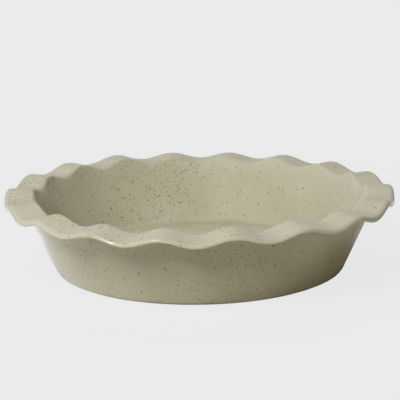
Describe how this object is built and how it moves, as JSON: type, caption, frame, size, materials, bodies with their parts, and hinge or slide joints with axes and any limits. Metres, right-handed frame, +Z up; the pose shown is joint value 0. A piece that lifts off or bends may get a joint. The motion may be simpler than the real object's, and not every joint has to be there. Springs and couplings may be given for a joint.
{
  "type": "pie dish",
  "caption": "Round stoneware pie dish with sloping walls, a wide flat rim that waves up and down in lobes, a speckled glaze and a bare foot ring.",
  "frame": {"origin": "centre of the foot ring, on the surface that the dish stands on", "axes": "+Z up through the middle of the dish; +X through the top of the first rim lobe"},
  "size_m": [0.28, 0.28, 0.0588],
  "materials": {
    "bare_stoneware": "matte fired clay",
    "speckled_glaze": "satin sage-cream glaze with fine brown specks"
  },
  "bodies": {
    "root": {"glazed_dish": "speckled_glaze", "foot_ring": "bare_stoneware"}
  },
  "joints": []
}
